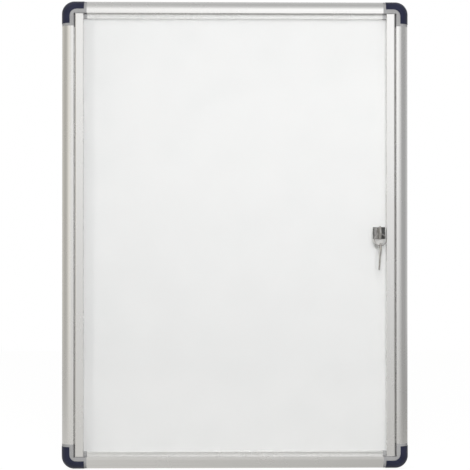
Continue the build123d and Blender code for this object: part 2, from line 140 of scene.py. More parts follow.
def blend_colours(tree, factor, first, second):
    """A colour between two others: first where factor is 0, second where it is 1."""
    inputs = {0: factor, COLOUR_A: first, COLOUR_B: second}
    return add(tree, "Mix", inputs, data_type="RGBA").outputs[COLOUR_OUT]


def rgba(red, green, blue):
    """A colour with full alpha, as sockets take it."""
    return (red, green, blue, 1.0)


def grid_quads(rows, columns, wrap_rows, wrap_columns, first=0):
    """Quads of a grid: each point with its neighbour below, diagonal and to the right."""
    index = first + np.arange(rows * columns).reshape(rows, columns)
    below = np.roll(index, -1, axis=0)
    quads = np.stack([index, below, np.roll(below, -1, axis=1), np.roll(index, -1, axis=1)], axis=-1)
    quads = quads if wrap_rows else quads[:-1]
    quads = quads if wrap_columns else quads[:, :-1]
    return quads.reshape(-1, 4)


def mesh_object(name, points, faces, sharp_deg=40.0):
    """A mesh object at the origin, smooth except along edges sharper than the given angle."""
    mesh = bpy.data.meshes.new(name)
    mesh.from_pydata(np.asarray(points).reshape(-1, 3).tolist(), [], [list(map(int, f)) for f in faces])
    mesh.validate()
    mesh.shade_smooth()
    mesh.set_sharp_from_angle(angle=math.radians(sharp_deg))
    made = bpy.data.objects.new(name, mesh)
    bpy.context.scene.collection.objects.link(made)
    return made


print("helpers are ready")

# %% [markdown]
# ## The studio
# In the photograph the case is cut out on pure white, and its silver shows what stood round it.
# The flat faces are bright at the top and fall off downwards, so a soft panel stood above the
# camera and a little to its right. The round nose on the left mirrors a pale, slightly warm wall,
# the one on the right a plain grey room, and white paper hung behind the case.
#
# The world below is that room, as a colour for each direction. The camera sees it as white, also
# through the pane. Metal mirrors it as it is. As a light it is turned down, because the board is
# lit from the front far more than such a room would light it. Two softboxes do that. One stands by
# the camera and is turned to the right and down, where it lights the board more. A weak one stands
# far to the left, and from it the left stile throws a faint wide shadow on the board. Both are kept
# out of reflections, as a photographer does with crossed polarisers.

# %% World
ROOM = 0.47
ROOM_TO_RIGHT = -0.03
ROOM_TO_TOP = 0.054
ROOM_AS_LIGHT = 0.46
WARM_GREEN, WARM_BLUE = -0.03, -0.1
PAPER = 1.0
PAPER_IN_METAL = 0.673
WALL = 0.47
WALL_ACROSS = (-0.06, -0.22, -0.49, -0.96)
PANEL = 0.94
PANEL_ACROSS = (-0.174, -0.012, 0.1, 0.736)
PANEL_UP = (-0.1, 0.09, 0.27, 1.043)
PANEL_FRONT = (0.0, -0.5)
PAPER_BEHIND = (-0.1, 0.75)
WARM_TO_LEFT = (0.0, -0.6)


def ray_kinds(tree):
    """Two masks: rays that a surface mirrored, and rays of the eye, straight or through glass."""
    path = add(tree, "LightPath").outputs
    mirrored = maths(tree, "GREATER_THAN", path["Glossy Depth"], 0.5)
    through = maths(tree, "SUBTRACT", path["Is Transmission Ray"], mirrored)
    return mirrored, maths(tree, "MAXIMUM", path["Is Camera Ray"], through)


def band(tree, value, start, full, fade, end):
    """1 from full to fade, carried smoothly down to 0 at start and at end."""
    return maths(tree, "MULTIPLY", ramp(tree, value, start, full), ramp(tree, value, end, fade))


def plain_room(tree, way):
    """Level of the room in a direction: nearly even, with a pale wall on the left."""
    room = maths(tree, "MULTIPLY_ADD", way["X"], ROOM_TO_RIGHT, ROOM)
    room = maths(tree, "MULTIPLY_ADD", way["Z"], ROOM_TO_TOP, room)
    return maths(tree, "MULTIPLY_ADD", band(tree, way["X"], *WALL_ACROSS), WALL, room)


def white_room():
    """World colour by direction: a plain room, a pale wall, a soft panel, paper behind the case."""
    world = bpy.data.worlds.new("white_room")
    world.use_nodes = True
    tree = world.node_tree
    tree.nodes.clear()
    way = add(tree, "SeparateXYZ", {0: add(tree, "TexCoord").outputs["Generated"]}).outputs
    across, up = band(tree, way["X"], *PANEL_ACROSS), band(tree, way["Z"], *PANEL_UP)
    panel = maths(tree, "MULTIPLY", across, up)
    panel = maths(tree, "MULTIPLY", panel, ramp(tree, way["Y"], *PANEL_FRONT))
    front = maths(tree, "MULTIPLY_ADD", panel, PANEL, plain_room(tree, way))
    behind = ramp(tree, way["Y"], *PAPER_BEHIND)
    studio = add(tree, "Mix", {0: behind, 2: front, 3: PAPER_IN_METAL}).outputs[0]
    mirrored, seen = ray_kinds(tree)
    dimmed = add(tree, "Mix", {0: mirrored, 2: ROOM_AS_LIGHT, 3: 1.0}).outputs[0]
    lit = maths(tree, "MULTIPLY", studio, dimmed)
    warm = ramp(tree, way["X"], *WARM_TO_LEFT)
    green = maths(tree, "MULTIPLY", lit, maths(tree, "MULTIPLY_ADD", warm, WARM_GREEN, 1.0))
    blue = maths(tree, "MULTIPLY", lit, maths(tree, "MULTIPLY_ADD", warm, WARM_BLUE, 1.0))
    tinted = add(tree, "CombineColor", {0: lit, 1: green, 2: blue}).outputs[0]
    colour = blend_colours(tree, seen, tinted, rgba(PAPER, PAPER, PAPER))
    light = add(tree, "Background", {"Color": colour, "Strength": 1.0})
    add(tree, "OutputWorld", {"Surface": light.outputs[0]})
    bpy.context.scene.world = world
    return world


print("world:", white_room().name)

# %% Lamps
SOFTBOXES = {
    "front_softbox": ((0.03, -2.6, 0.38), (1.4, 0.0, -0.5), (0.6, 0.8), 41.4),
    "left_softbox": ((-3.0, -4.9, 1.9), (0.0, 0.0, 0.0), (1.3, 1.6), 35.0),
}


def softbox(name, place, aim, size, watts):
    """A rectangular lamp at place that faces its aim and stays out of reflections."""
    data = bpy.data.lights.new(name, "AREA")
    data.shape = "RECTANGLE"
    data.size, data.size_y = size
    data.energy = watts
    lamp = bpy.data.objects.new(name, data)
    lamp.location = place
    lamp.rotation_euler = (Vector(aim) - Vector(place)).to_track_quat("-Z", "Y").to_euler()
    lamp.visible_glossy = False
    lamp.visible_transmission = False
    bpy.context.scene.collection.objects.link(lamp)
    return lamp


for name, (place, aim, size, watts) in SOFTBOXES.items():
    print("lamp:", softbox(name, place, aim, size, watts).name, watts, "W")
bpy.context.scene.view_settings.view_transform = "Standard"

# %% [markdown]
# ## The floor
# The case stands just clear of a floor that the camera sees as white, dimmed where the case shades
# it. The silver mirrors it as a warm grey: lightest a little left of the case, darker to the
# right. Towards its front and sides mirrored rays pass through it into the room, so that no edge
# of the floor shows in the pane.

# %% Floor
FLOOR_BELOW = 1.0 * MM
FLOOR_HALF = 2.6
FLOOR_POINTS = 3
FLOOR_WHITE_SHARE = 0.72
FLOOR_WHITE = 1.3
FLOOR_FAR_LEFT, FLOOR_LEFT, FLOOR_RIGHT = 0.5, 0.68, 0.362
FLOOR_LIGHTENS = (-1.5, -0.5)
FLOOR_DARKENS = (-0.5, 1.14)
FLOOR_FRONT = (-2.5, -1.0)
FLOOR_SIDE = (2.55, 1.9)
FLOOR_WARM = rgba(1.0, 0.985, 0.955)
FLOOR_PAINT = rgba(0.55, 0.55, 0.55)


def pale_floor():
    """A square floor just under the case, seen as white but dimmed where the case shades it."""
    level = cad_box[0].z - FLOOR_BELOW
    across = np.linspace(-FLOOR_HALF, FLOOR_HALF, FLOOR_POINTS)
    x, y = np.meshgrid(across, across, indexing="ij")
    points = np.stack([x, y, np.full_like(x, level)], axis=-1)
    floor = mesh_object("studio_floor", points, grid_quads(FLOOR_POINTS, FLOOR_POINTS, False, False))
    material = bpy.data.materials.new("pale_floor")
    material.use_nodes = True
    tree = material.node_tree
    tree.nodes.clear()
    mirrored, seen = ray_kinds(tree)
    share = maths(tree, "MAXIMUM", maths(tree, "MULTIPLY", seen, FLOOR_WHITE_SHARE), mirrored)
    place = add(tree, "SeparateXYZ", {0: add(tree, "TexCoord").outputs["Object"]}).outputs
    dim = maths(
        tree, "MINIMUM",
        ramp(tree, place["X"], *FLOOR_LIGHTENS, FLOOR_FAR_LEFT, FLOOR_LEFT),
        ramp(tree, place["X"], *FLOOR_DARKENS, FLOOR_LEFT, FLOOR_RIGHT),
    )
    from_side = ramp(tree, maths(tree, "ABSOLUTE", place["X"]), *FLOOR_SIDE)
    inside = maths(tree, "MINIMUM", ramp(tree, place["Y"], *FLOOR_FRONT), from_side)
    strength = add(tree, "Mix", {0: mirrored, 2: FLOOR_WHITE, 3: dim}).outputs[0]
    paint = add(tree, "BsdfDiffuse", {"Color": FLOOR_PAINT})
    tint = blend_colours(tree, mirrored, rgba(1, 1, 1), FLOOR_WARM)
    white = add(tree, "Emission", {"Color": tint, "Strength": strength})
    mixed = add(tree, "MixShader", {0: share, 1: paint.outputs[0], 2: white.outputs[0]})
    outside = maths(tree, "MULTIPLY", mirrored, maths(tree, "SUBTRACT", 1.0, inside))
    open_way = add(tree, "BsdfTransparent").outputs[0]
    faded = add(tree, "MixShader", {0: outside, 1: mixed.outputs[0], 2: open_way})
    add(tree, "OutputMaterial", {"Surface": faded.outputs[0]})
    floor.data.materials.append(material)
    return floor


print("floor at", round(pale_floor().data.vertices[0].co.z / MM, 1), "mm")

# %% [markdown]
# ## Effects that several finishes share
# Drawn and brushed metals differ in colour but not in kind: all show fine lines along the way
# they were drawn. Moulded plastics all show a fine grain, and handled things all show rubbed
# patches and hair scratches. Each of these effects is therefore one node group. It reads a place
# on the surface and puts out masks and values, and every material that uses it keeps its own
# colours and its own shader.

# %% Node groups
FLOAT, VECTOR = "NodeSocketFloat", "NodeSocketVector"
NOISE_MIDDLE = 0.5
NOISE_SPREAD = (0.3, 0.7)
LINE_SCALE, BAND_SCALE = 1.0, 0.12
LINE_SHARE, BAND_SHARE = 0.4, 0.6
DUST_SCALE, MOTTLE_SCALE = 0.4, 0.03
DUST_SHARE = 0.5
RUB_SPREAD = (0.48, 0.68)
SCRATCH_TURNS = (0.5, -0.9)
SCRATCH_STRETCH = (1, 0.04, 1)
SCRATCH_HALF = 0.012


def effect_group(name, inputs, outputs):
    """An empty node group with named float inputs, a Place vector and named float outputs."""
    tree = bpy.data.node_groups.new(name, "ShaderNodeTree")
    tree.interface.new_socket("Place", in_out="INPUT", socket_type=VECTOR)
    for label, value in inputs.items():
        tree.interface.new_socket(label, in_out="INPUT", socket_type=FLOAT).default_value = value
    for label in outputs:
        tree.interface.new_socket(label, in_out="OUTPUT", socket_type=FLOAT)
    given = tree.nodes.new("NodeGroupInput").outputs
    results = tree.nodes.new("NodeGroupOutput").inputs
    return tree, given, results


def noise(tree, place, scale, detail=2.0, rough=0.5):
    """The value of a noise texture, about 0.5 on the average."""
    inputs = {"Vector": place, "Scale": scale, "Detail": detail, "Roughness": rough}
    return add(tree, "TexNoise", inputs).outputs[0]


def scaled(tree, place, scale, turn=(0, 0, 0)):
    """The place turned and stretched, so that a pattern can run along one direction."""
    return add(tree, "Mapping", {"Vector": place, "Scale": scale, "Rotation": turn}).outputs[0]


def gloss(tree, given, value):
    """The roughness given, which wanders with a noise value."""
    swing = maths(tree, "SUBTRACT", value, NOISE_MIDDLE)
    return maths(tree, "MULTIPLY_ADD", swing, given["Rough spread"], given["Rough"])


def drawn_lines():
    """Lines along the drawing direction: fine ones for height and gloss, broad ones for tone."""
    tree, given, results = effect_group(
        "drawn_lines", {"Rough": 0.35, "Rough spread": 0.1}, ("Streaks", "Roughness", "Height")
    )
    fine = noise(tree, given["Place"], LINE_SCALE, 3.0, 0.65)
    broad = maths(tree, "MULTIPLY", noise(tree, given["Place"], BAND_SCALE), BAND_SHARE)
    tone = maths(tree, "MULTIPLY_ADD", fine, LINE_SHARE, broad)
    tree.links.new(ramp(tree, tone, *NOISE_SPREAD), results["Streaks"])
    tree.links.new(gloss(tree, given, fine), results["Roughness"])
    tree.links.new(fine, results["Height"])
    return tree


def moulded_grain():
    """The fine pebbled skin of a moulding, with a faint broad mottle."""
    tree, given, results = effect_group(
        "moulded_grain",
        {"Grain": 2000.0, "Rough": 0.5, "Rough spread": 0.1},
        ("Mottle", "Roughness", "Height"),
    )
    cells = {"Vector": given["Place"], "Scale": given["Grain"], "Smoothness": 0.6}
    pebbles = add(tree, "TexVoronoi", cells, feature="SMOOTH_F1").outputs["Distance"]
    dust = noise(tree, given["Place"], maths(tree, "MULTIPLY", given["Grain"], DUST_SCALE))
    mottle = noise(tree, given["Place"], maths(tree, "MULTIPLY", given["Grain"], MOTTLE_SCALE), 3.0)
    tree.links.new(ramp(tree, mottle, *NOISE_SPREAD), results["Mottle"])
    tree.links.new(gloss(tree, given, mottle), results["Roughness"])
    tree.links.new(maths(tree, "MULTIPLY_ADD", dust, DUST_SHARE, pebbles), results["Height"])
    return tree


def handling_marks():
    """Rubbed patches, and hair scratches in two directions."""
    tree, given, results = effect_group(
        "handling_marks", {"Patch": 60.0, "Scratch": 900.0}, ("Rub", "Scratches")
    )
    rub = noise(tree, given["Place"], given["Patch"], 4.0, 0.6)
    lines = []
    for turn in SCRATCH_TURNS:
        turned = scaled(tree, given["Place"], SCRATCH_STRETCH, (turn, turn, turn))
        hair = maths(tree, "SUBTRACT", noise(tree, turned, given["Scratch"], 0.0), NOISE_MIDDLE)
        lines.append(ramp(tree, maths(tree, "ABSOLUTE", hair), SCRATCH_HALF, 0.0))
    tree.links.new(ramp(tree, rub, *RUB_SPREAD), results["Rub"])
    tree.links.new(maths(tree, "MAXIMUM", *lines), results["Scratches"])
    return tree


DRAWN, GRAIN, MARKS = drawn_lines(), moulded_grain(), handling_marks()
print("groups:", DRAWN.name, GRAIN.name, MARKS.name)

# %% Starting a material
def start_material(name, **sockets):
    """A material with a Principled shader, its plain sockets set, and the object's coordinates."""
    material = bpy.data.materials.new(name)
    material.use_nodes = True
    tree = material.node_tree
    shader = tree.nodes["Principled BSDF"]
    for key, value in sockets.items():
        shader.inputs[key.replace("_", " ")].default_value = value
    place = add(tree, "TexCoord").outputs["Object"]
    return material, tree, shader, place


def effect(tree, group, place, **values):
    """The outputs of a shared effect placed in a material with its own values."""
    made = tree.nodes.new("ShaderNodeGroup")
    made.node_tree = group
    tree.links.new(place, made.inputs["Place"])
    for key, value in values.items():
        made.inputs[key.replace("_", " ")].default_value = value
    return made.outputs


def bump(tree, shader, height, depth):
    """Relief of the given depth in metres, from a height between 0 and 1."""
    relief = add(tree, "Bump", {"Height": height, "Distance": depth, "Strength": 1.0})
    tree.links.new(relief.outputs[0], shader.inputs["Normal"])


def feed(tree, shader, **sockets):
    """Feed a shader's sockets from outputs."""
    for key, output in sockets.items():
        tree.links.new(output, shader.inputs[key.replace("_", " ")])


def marked(tree, marks, change, rough):
    """A roughness changed by this much where a mask of marks is full."""
    return maths(tree, "MULTIPLY_ADD", marks, change, rough)


def coat(material, *names):
    """Give these CAD nodes a finish."""
    for name in names:
        nodes[name].data.materials.clear()
        nodes[name].data.materials.append(material)
    print(material.name, "on", len(names), "nodes")


# %% [markdown]
# ## Silver extrusions
# The frame and the door stiles are satin anodised aluminium. The anodising keeps the metal's
# brightness but scatters it, and the die leaves faint lines along each bar. The same finish is
# made twice, once with lines along X for the level bars and once along Z for the upright ones.

# %% Anodised aluminium
ALONG_X = (3.0, 1400.0, 1400.0)
ALONG_Z = (1400.0, 1400.0, 3.0)
SILVER_LOW = rgba(0.798, 0.794, 0.784)
SILVER_HIGH = rgba(0.826, 0.822, 0.812)
RUB_DULLS = 0.02
DIE_LINE_DEPTH = 0.0008 * MM


def anodised(name, lines):
    """Satin silver with lines in one direction and faint handling marks."""
    material, tree, shader, place = start_material(name, Metallic=1.0)
    drawn = effect(tree, DRAWN, scaled(tree, place, lines), Rough=0.27, Rough_spread=0.02)
    marks = effect(tree, MARKS, place, Patch=14.0, Scratch=500.0)
    feed(tree, shader, Base_Color=blend_colours(tree, drawn["Streaks"], SILVER_LOW, SILVER_HIGH))
    feed(tree, shader, Roughness=marked(tree, marks["Rub"], RUB_DULLS, drawn["Roughness"]))
    bump(tree, shader, drawn["Height"], DIE_LINE_DEPTH)
    return material


coat(anodised("anodised_level", ALONG_X), "frame_top", "frame_bottom")
coat(anodised("anodised_upright", ALONG_Z), "frame_left", "frame_right", "hinge_stile", "lock_stile")

# %% [markdown]
# ## Moulded corners and plugs
# The corner blocks are mid grey and the caps over them a very dark blue. Both are moulded with a
# fine grain, and the caps have a soft sheen that lightens their rounded outer edge against the
# white. Handling has polished both in patches.

# %% Plastics
RUB_POLISHES = -0.08


def moulding(name, low, high, rough, grain, depth, sheen=0.5):
    """A grained moulding whose tone wanders between two colours, with more or less sheen."""
    material, tree, shader, place = start_material(name, Specular_IOR_Level=sheen)
    skin = effect(tree, GRAIN, place, Grain=grain, Rough=rough, Rough_spread=0.12)
    marks = effect(tree, MARKS, place, Patch=90.0, Scratch=1500.0)
    feed(tree, shader, Base_Color=blend_colours(tree, skin["Mottle"], low, high))
    feed(tree, shader, Roughness=marked(tree, marks["Rub"], RUB_POLISHES, skin["Roughness"]))
    bump(tree, shader, skin["Height"], depth)
    return material


CORNERS = [f"{end}_{side}" for end in ("top", "bottom") for side in ("left", "right")]
GREYS = rgba(0.36, 0.36, 0.365), rgba(0.41, 0.41, 0.415)
NAVIES = rgba(0.018, 0.021, 0.046), rgba(0.026, 0.029, 0.060)
PALES = rgba(0.46, 0.46, 0.46), rgba(0.52, 0.52, 0.52)
grey = moulding("corner_grey", *GREYS, rough=0.52, grain=1800.0, depth=0.02 * MM)
navy = moulding("corner_navy", *NAVIES, rough=0.42, grain=2200.0, depth=0.015 * MM, sheen=0.25)
pale = moulding("plug_grey", *PALES, rough=0.5, grain=2000.0, depth=0.015 * MM)
coat(grey, *[f"corner_{corner}" for corner in CORNERS])
coat(navy, *[f"corner_cap_{corner}" for corner in CORNERS])
coat(pale, *[f"{stile}_plug_{end}" for stile in ("hinge", "lock_stile") for end in ("top", "bottom")])

# %% Rubber
def rubber(name, low, high):
    """Soft matt rubber with a dusty bloom."""
    material, tree, shader, place = start_material(name)
    skin = effect(tree, GRAIN, place, Grain=2600.0, Rough=0.72, Rough_spread=0.15)
    tone = blend_colours(tree, skin["Mottle"], low, high)
    feed(tree, shader, Base_Color=tone, Roughness=skin["Roughness"])
    bump(tree, shader, skin["Height"], 0.01 * MM)
    return material


gasket = rubber("gasket_grey", rgba(0.62, 0.63, 0.63), rgba(0.7, 0.71, 0.71))
dark = rubber("soft_rubber", rgba(0.035, 0.035, 0.035), rgba(0.06, 0.06, 0.06))
coat(gasket, "glazing_gasket_left", "glazing_gasket_right")
coat(dark, "door_buffers", "lock_washer")

# %% [markdown]
# ## The board
# The face is white lacquered steel: almost flat, but lacquer dries with the faint waviness that
# painters call orange peel, and pens and cloths have dulled it in patches. Behind it lie a paper core
# and a zinc coated backing sheet, whose crystals show as patches of slightly different greys.

# %% Board finishes
WIPING_DULLS = 0.06
FIBRES = (900.0, 2500.0, 300.0)
CRYSTALS = 160.0
CRYSTAL_ROUGH, CRYSTAL_SPREAD = 0.38, 0.15
WEAR_DULLS = 0.12


def lacquer():
    """White semi gloss lacquer with orange peel and faint wiped patches."""
    material, tree, shader, place = start_material(
        "board_white", Specular_IOR_Level=0.3, Coat_Weight=0.05, Coat_Roughness=0.08
    )
    peel = effect(tree, GRAIN, place, Grain=420.0, Rough=0.32, Rough_spread=0.12)
    marks = effect(tree, MARKS, place, Patch=9.0, Scratch=260.0)
    tone = blend_colours(tree, peel["Mottle"], rgba(0.868, 0.87, 0.868), rgba(0.888, 0.889, 0.887))
    feed(tree, shader, Base_Color=tone)
    feed(tree, shader, Roughness=marked(tree, marks["Rub"], WIPING_DULLS, peel["Roughness"]))
    bump(tree, shader, peel["Height"], 0.008 * MM)
    return material


def core_paper():
    """Plain grey-brown board with fibres in it."""
    material, tree, shader, place = start_material("board_core")
    fibres = effect(tree, DRAWN, scaled(tree, place, FIBRES), Rough=0.85, Rough_spread=0.1)
    tone = blend_colours(tree, fibres["Streaks"], rgba(0.42, 0.35, 0.26), rgba(0.56, 0.48, 0.37))
    feed(tree, shader, Base_Color=tone, Roughness=fibres["Roughness"])
    bump(tree, shader, fibres["Height"], 0.05 * MM)
    return material


def zinc_sheet():
    """Zinc coated sheet: crystals a few millimetres wide, each with its own grey."""
    material, tree, shader, place = start_material("backing_steel", Metallic=1.0)
    crystals = add(tree, "TexVoronoi", {"Vector": place, "Scale": CRYSTALS}).outputs["Color"]
    tone = add(tree, "SeparateColor", {0: crystals}).outputs[0]
    marks = effect(tree, MARKS, place, Patch=20.0, Scratch=400.0)
    rough = maths(tree, "MULTIPLY_ADD", tone, CRYSTAL_SPREAD, CRYSTAL_ROUGH)
    grey_zinc = blend_colours(tree, tone, rgba(0.46, 0.47, 0.48), rgba(0.62, 0.63, 0.64))
    feed(tree, shader, Base_Color=grey_zinc)
    feed(tree, shader, Roughness=marked(tree, marks["Rub"], WEAR_DULLS, rough))
    bump(tree, shader, marks["Scratches"], 0.004 * MM)
    return material


coat(lacquer(), "board_face")
coat(core_paper(), "board_core")
coat(zinc_sheet(), "board_backing")

# %% [markdown]
# ## The clear pane
# The door is a sheet of acrylic. In the photograph it hardly mirrors anything, so its surfaces are
# calm, as on a pane treated against reflections. A glass shader bends the view through it, but
# real glass would also keep the lamps' rays from the board in a path tracer, so rays on their way
# to a lamp, and light scattered by the board, pass it as if it were not there. Wiping leaves a
# faint haze, which shows only in the reflections.

# %% Pane
PANE_ROUGH = 0.01
HAZE_DULLS = 0.02


def clear_acrylic():
    """Clear acrylic: refracting to the eye, open to lamps and scattered light."""
    material, tree, shader, place = start_material(
        "clear_acrylic", Transmission_Weight=1.0, IOR=1.49, Specular_IOR_Level=0.12
    )
    marks = effect(tree, MARKS, place, Patch=11.0, Scratch=700.0)
    tone = blend_colours(tree, marks["Rub"], rgba(0.985, 0.99, 0.99), rgba(0.97, 0.978, 0.978))
    feed(tree, shader, Base_Color=tone)
    feed(tree, shader, Roughness=marked(tree, marks["Rub"], HAZE_DULLS, PANE_ROUGH))
    path = add(tree, "LightPath").outputs
    open_way = add(tree, "BsdfTransparent").outputs[0]
    scattered = add(tree, "MixShader", {0: path["Is Diffuse Ray"], 1: shader.outputs[0], 2: open_way})
    lamps = add(tree, "MixShader", {0: path["Is Shadow Ray"], 1: scattered.outputs[0], 2: open_way})
    tree.links.new(lamps.outputs[0], tree.nodes["Material Output"].inputs["Surface"])
    return material


coat(clear_acrylic(), "door_pane")

# %% [markdown]
# ## Lock, pins and screws
# The lock block is polished dark chrome on a satin nickel plate, and its dark and light halves are a
# painted reflection in its colour. The cam, nut and screws behind it are zinc plated, the hinge pins
# are ground steel, and the wafers in the plug are stamped brass. All of them are metal with drawn or
# ground lines and marks, in their own colours.

# %% Lock metals
# Painted reflection on the lock block: the colours of its painted dark and light halves, and where the
# painted light half starts and ends across it.
PAINTED_REFLECTION_DARK, PAINTED_REFLECTION_LIGHT = rgba(0.075, 0.074, 0.073), rgba(0.56, 0.553, 0.54)
PAINTED_LIGHT_STARTS = (-8.2 * MM, -6.0 * MM)
PAINTED_LIGHT_ENDS = (2.4 * MM, 0.2 * MM)
MOTTLE_SHARE = 0.5
MOTTLE_LEAST, MOTTLE_MORE = 0.3, 0.7
FINGERS_DULL = 0.1
SCRATCH_DULLS = 0.12
RUBBED_SHARE = 0.6


def chrome_with_painted_reflection():
    """Polished chrome with a painted reflection: its dark and light halves are painted into its colour
    for the surroundings that such a block mirrors. A faint mottle, partly from the patches where
    fingers have dulled its gloss, breaks up the painted light half."""
    material, tree, shader, place = start_material("lock_chrome", Metallic=1.0)
    low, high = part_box("lock_housing")
    across = add(tree, "SeparateXYZ", {0: place}).outputs["X"]
    from_key = maths(tree, "SUBTRACT", across, (low.x + high.x) / 2)
    skin = effect(tree, GRAIN, place, Grain=9000.0, Rough=0.14, Rough_spread=0.1)
    marks = effect(tree, MARKS, place, Patch=330.0, Scratch=2500.0)
    # Painted reflection: a light half painted across the block, broken up by a faint mottle; the rest
    # is the painted dark half.
    painted_light_half = ramp(tree, from_key, *PAINTED_LIGHT_ENDS)
    painted_light_half = maths(tree, "MULTIPLY", painted_light_half, ramp(tree, from_key, *PAINTED_LIGHT_STARTS))
    mottle = maths(tree, "MULTIPLY", skin["Mottle"], MOTTLE_SHARE)
    mottle = maths(tree, "MULTIPLY_ADD", marks["Rub"], MOTTLE_SHARE, mottle)
    broken = maths(tree, "MULTIPLY_ADD", mottle, MOTTLE_MORE, MOTTLE_LEAST)
    tone = maths(tree, "MULTIPLY", painted_light_half, broken)
    feed(tree, shader, Base_Color=blend_colours(tree, tone, PAINTED_REFLECTION_DARK, PAINTED_REFLECTION_LIGHT))
    feed(tree, shader, Roughness=marked(tree, marks["Rub"], FINGERS_DULL, skin["Roughness"]))
    return material


def worked_metal(name, low, high, rough, lines, depth, rubbed=None):
    """A metal with drawn lines, whose rubbed patches may show a second colour."""
    material, tree, shader, place = start_material(name, Metallic=1.0)
    drawn = effect(tree, DRAWN, scaled(tree, place, lines), Rough=rough, Rough_spread=0.1)
    marks = effect(tree, MARKS, place, Patch=260.0, Scratch=2500.0)
    tone = blend_colours(tree, drawn["Streaks"], low, high)
    if rubbed:
        tone = blend_colours(tree, maths(tree, "MULTIPLY", marks["Rub"], RUBBED_SHARE), tone, rubbed)
    feed(tree, shader, Base_Color=tone)
    feed(tree, shader, Roughness=marked(tree, marks["Scratches"], SCRATCH_DULLS, drawn["Roughness"]))
    bump(tree, shader, drawn["Height"], depth)
    return material


UPRIGHT_FINE = (5000.0, 5000.0, 60.0)
EVEN_FINE = (2500.0, 2500.0, 2500.0)
SATINS = rgba(0.8, 0.79, 0.775), rgba(0.88, 0.87, 0.855)
ZINCS = rgba(0.6, 0.6, 0.585), rgba(0.74, 0.74, 0.715)
STEELS = rgba(0.58, 0.58, 0.58), rgba(0.7, 0.7, 0.7)
BRASSES = rgba(0.6, 0.45, 0.19), rgba(0.72, 0.56, 0.27)
satin = worked_metal("lock_satin", *SATINS, rough=0.34, lines=UPRIGHT_FINE, depth=0.002 * MM)
zinc = worked_metal("screw_zinc", *ZINCS, rough=0.3, lines=EVEN_FINE, depth=0.004 * MM)
steel = worked_metal("pin_steel", *STEELS, rough=0.25, lines=UPRIGHT_FINE, depth=0.003 * MM)
brass = worked_metal("wafer_brass", *BRASSES, rough=0.3, lines=EVEN_FINE, depth=0.004 * MM)
coat(satin, "lock_plate")
coat(chrome_with_painted_reflection(), "lock_housing", "lock_plug")
coat(zinc, "lock_nut", "lock_cam", "cam_screw", "frame_screws")
coat(steel, "hinge_pin_top", "hinge_pin_bottom")
coat(brass, "lock_wafers")

# %% [markdown]
# ## The keys
# A stamped key is a flat plate, but what makes it read as a key is the raised rim round its bow
# and the groove milled along its blade. The bow is a ring with its hole off centre: the grid runs
# round it, and across it from the hole over the front, round the rim and back. The blade is a
# section carried along the key, whose lower edge follows the cuts. The key's length and bow come
# from the solid that it replaces.

# %% Key shapes
BLADE_L = 16.5 * MM
BLADE_HALF = 3.0 * MM
NECK_HALF = 4.25 * MM
NECK_IN_BOW = 1.2 * MM
TIP_L = 1.6 * MM
CUT_PITCH = 3.0 * MM
CUT_DEPTH = 0.9 * MM
HOLE_R = 2.25 * MM
HOLE_IN = 5.0 * MM
RIM_W = 1.0 * MM
BOSS_W = 0.7 * MM
PANEL_DROP = 0.35 * MM
EDGE_R = 0.25 * MM
GROOVE_HALF = 0.7 * MM
GROOVE_DEPTH = 0.4 * MM
GROOVES_AT = (1.0 * MM, -0.6 * MM)
CUTS = 4
TIP_LEAST = 0.02
STEP_BACK = 1e-6
ROUND_STEPS = 96
BLADE_STEPS = 151
SIDE_STEPS = 25


def key_bow(bow_r, half, neck):
    """Off-centre ring. Along each spoke from the hole to the rim the height is full on the boss
    round the hole and on the rim, and lower on the panel between them; the loop then returns
    over the back at the mirrored height."""
    turn = np.linspace(0, 2 * np.pi, ROUND_STEPS, endpoint=False)
    circle = np.stack([np.cos(turn), np.sin(turn)], axis=-1)
    rim = circle * bow_r + [-neck - bow_r, 0]
    hole = circle * HOLE_R + [-neck - 2 * bow_r + HOLE_IN, 0]
    spoke = rim - hole
    span = np.linalg.norm(spoke, axis=-1, keepdims=True)
    way = spoke / span
    low = half - PANEL_DROP
    near = [(0, half - EDGE_R), (EDGE_R, half), (BOSS_W, half), (BOSS_W + PANEL_DROP, low)]
    far = [(RIM_W + PANEL_DROP, low), (RIM_W, half), (EDGE_R, half), (0, half - EDGE_R)]
    front = [np.concatenate([hole + way * d, np.full_like(span, z)], axis=-1) for d, z in near]
    front += [np.concatenate([rim - way * d, np.full_like(span, z)], axis=-1) for d, z in far]
    front = np.stack(front)
    return np.concatenate([front, front[::-1] * [1, 1, -1]])


def key_blade(half, neck):
    """A section carried along the key. Half height is full but for a groove on each side; the
    top edge is straight, and the bottom edge rises by a triangle wave at the cuts."""
    neck_ends = [-neck - NECK_IN_BOW, -STEP_BACK]
    along = np.concatenate([neck_ends, np.linspace(0, BLADE_L, BLADE_STEPS)])
    blade = along >= 0
    to_tip = np.clip((BLADE_L - along) / TIP_L, TIP_LEAST, 1)
    top = np.where(blade, BLADE_HALF, NECK_HALF) * to_tip
    phase = (BLADE_L - TIP_L - along) / CUT_PITCH
    cut = np.clip(CUT_DEPTH - np.abs(phase - np.round(phase)) * CUT_PITCH, 0, None)
    cut = np.where(blade & (phase > 0.5) & (phase < CUTS + 0.5), cut, 0)
    bottom = cut - top
    share = np.linspace(0, 1, SIDE_STEPS)
    across = bottom[:, None] + (top - bottom)[:, None] * share
    edge = np.clip(np.minimum(share, 1 - share) / share[2], 0, 1)
    rounded = half - EDGE_R * (1 - edge)
    first, second = (GROOVE_DEPTH * np.exp(-(((across - at) / GROOVE_HALF) ** 4)) for at in GROOVES_AT)
    heights = [rounded - first, -(rounded - second)]
    level = np.broadcast_to(along[:, None], across.shape)
    front, back = (np.stack([level, across, height], axis=-1) for height in heights)
    return np.concatenate([front, back[:, ::-1]], axis=1)


def key_sizes():
    """Length, bow radius and half thickness, from the solid of the key that stands straight."""
    low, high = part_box("door_key")
    thick, long, wide = high - low
    return long, wide / 2, thick / 2


